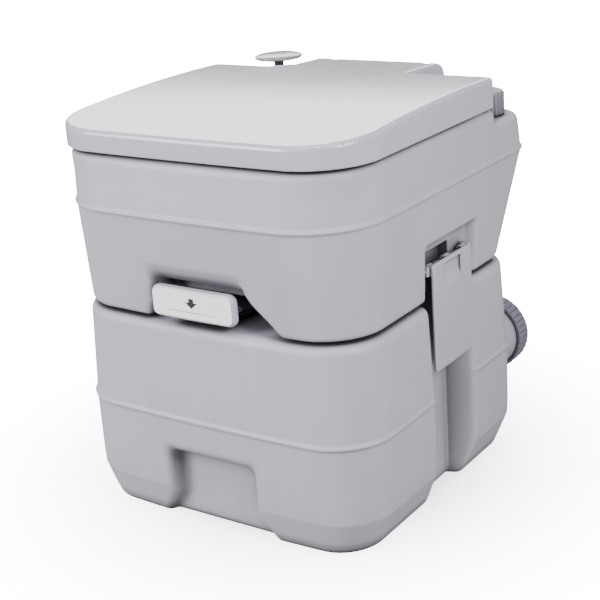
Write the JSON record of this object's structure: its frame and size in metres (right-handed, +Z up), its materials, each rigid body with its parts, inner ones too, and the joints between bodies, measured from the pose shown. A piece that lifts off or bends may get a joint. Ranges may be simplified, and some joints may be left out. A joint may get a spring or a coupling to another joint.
{
  "type": "portable camp toilet",
  "caption": "Boxy two-tank portable toilet with a hinged lid and seat, slide valve, piston flush pump, side latches, fill cap and rear pour-out spout.",
  "frame": {"origin": "middle of the lower tank's flat underside, on the ground", "axes": "+Z up, +Y towards the hinge and the pour-out spout, so the pull handle faces -Y; +X is the right side seen from the front"},
  "size_m": [0.361, 0.4115, 0.424],
  "materials": {
    "tank_grey": "blow-moulded, fine satin stipple",
    "lid_grey": "smooth injection moulding, semi-gloss",
    "cap_grey": "satin",
    "dark_plastic": "satin",
    "bowl_plastic": "smooth, glossy",
    "label_white": "smooth",
    "rubber": "matte",
    "steel": "drawn and turned"
  },
  "bodies": {
    "waste_base": {"waste_tank": "tank_grey", "valve_frame_lower": "dark_plastic", "valve_frame_upper": "dark_plastic", "blade_seal_lower": "rubber", "blade_seal_upper": "rubber", "bowl_outlet_seal": "rubber", "frame_screw_1": "steel", "frame_screw_2": "steel", "frame_screw_3": "steel", "frame_screw_4": "steel", "spout_neck": "tank_grey"},
    "valve_slide": {"valve_blade": "dark_plastic", "pull_handle": "lid_grey", "pull_label": "label_white", "handle_screw_1": "steel", "handle_screw_2": "steel"},
    "spout_gasket": {"spout_cap_gasket": "rubber"},
    "spout_cap": {"spout_cap": "cap_grey"},
    "fresh_unit": {"fresh_tank": "tank_grey", "bowl": "bowl_plastic", "hinge_pin_right": "steel", "hinge_pin_left": "steel", "pump_cylinder": "lid_grey", "pump_collar": "lid_grey", "foot_valve_body": "dark_plastic", "foot_valve_flap": "rubber", "flush_tube": "dark_plastic", "flush_nozzle": "lid_grey", "latch_pin_right": "steel", "latch_pin_left": "steel", "latch_spring_right": "steel", "latch_spring_left": "steel"},
    "seat": {"seat": "lid_grey", "seat_bumper_1": "rubber", "seat_bumper_2": "rubber", "seat_bumper_3": "rubber", "seat_bumper_4": "rubber"},
    "lid": {"lid": "lid_grey", "lid_bumper_1": "rubber", "lid_bumper_2": "rubber"},
    "pump_plunger": {"pump_piston": "dark_plastic", "pump_cup_seal": "rubber", "pump_rod": "dark_plastic", "pump_knob": "label_white"},
    "fill_gasket": {"fill_cap_gasket": "rubber"},
    "fill_cap": {"fill_cap": "cap_grey"},
    "latch_right": {"latch_right": "tank_grey"},
    "latch_left": {"latch_left": "tank_grey"}
  },
  "joints": [
    {"name": "fresh_unit_lift", "type": "slide", "parent": "waste_base", "child": "fresh_unit", "axis": [0, 0, 1], "range_m": [0, 0.06]},
    {"name": "valve_pull", "type": "slide", "parent": "waste_base", "child": "valve_slide", "axis": [0, -1, 0], "range_m": [0, 0.1]},
    {"name": "seat_hinge", "type": "hinge", "parent": "fresh_unit", "child": "seat", "pos_m": [0, 0.172, 0.4], "axis": [-1, 0, 0], "range_deg": [0, 95]},
    {"name": "lid_hinge", "type": "hinge", "parent": "seat", "child": "lid", "pos_m": [0, 0.172, 0.4], "axis": [-1, 0, 0], "range_deg": [0, 92]},
    {"name": "pump_stroke", "type": "slide", "parent": "fresh_unit", "child": "pump_plunger", "axis": [0, 0, 1], "range_m": [0, 0.04]},
    {"name": "fill_cap_rise", "type": "slide", "parent": "fresh_unit", "child": "fill_gasket", "axis": [0, 0, 1], "range_m": [0, 0.012]},
    {"name": "fill_cap_turn", "type": "hinge", "parent": "fill_gasket", "child": "fill_cap", "pos_m": [0.14, 0.142, 0.389], "axis": [0, 0, 1], "range_deg": [0, 540]},
    {"name": "spout_cap_rise", "type": "slide", "parent": "waste_base", "child": "spout_gasket", "axis": [0, 1, 0], "range_m": [0, 0.016]},
    {"name": "spout_cap_turn", "type": "hinge", "parent": "spout_gasket", "child": "spout_cap", "pos_m": [0.12, 0.203, 0.1], "axis": [0, 1, 0], "range_deg": [0, 720]},
    {"name": "latch_right_swing", "type": "hinge", "parent": "fresh_unit", "child": "latch_right", "pos_m": [0.1715, 0, 0.256], "axis": [0, -1, 0], "range_deg": [0, 70], "stiffness_Nm_per_rad": 0.06, "springref_deg": -20.05},
    {"name": "latch_left_swing", "type": "hinge", "parent": "fresh_unit", "child": "latch_left", "pos_m": [-0.1715, 0, 0.256], "axis": [0, 1, 0], "range_deg": [0, 70], "stiffness_Nm_per_rad": 0.06, "springref_deg": -20.05}
  ],
  "couplings": [
    {"joint": "fill_cap_turn", "follows": "fill_cap_rise", "rad_per_m": 785.4},
    {"joint": "spout_cap_rise", "follows": "spout_cap_turn", "m_per_rad": 0.0012732}
  ]
}
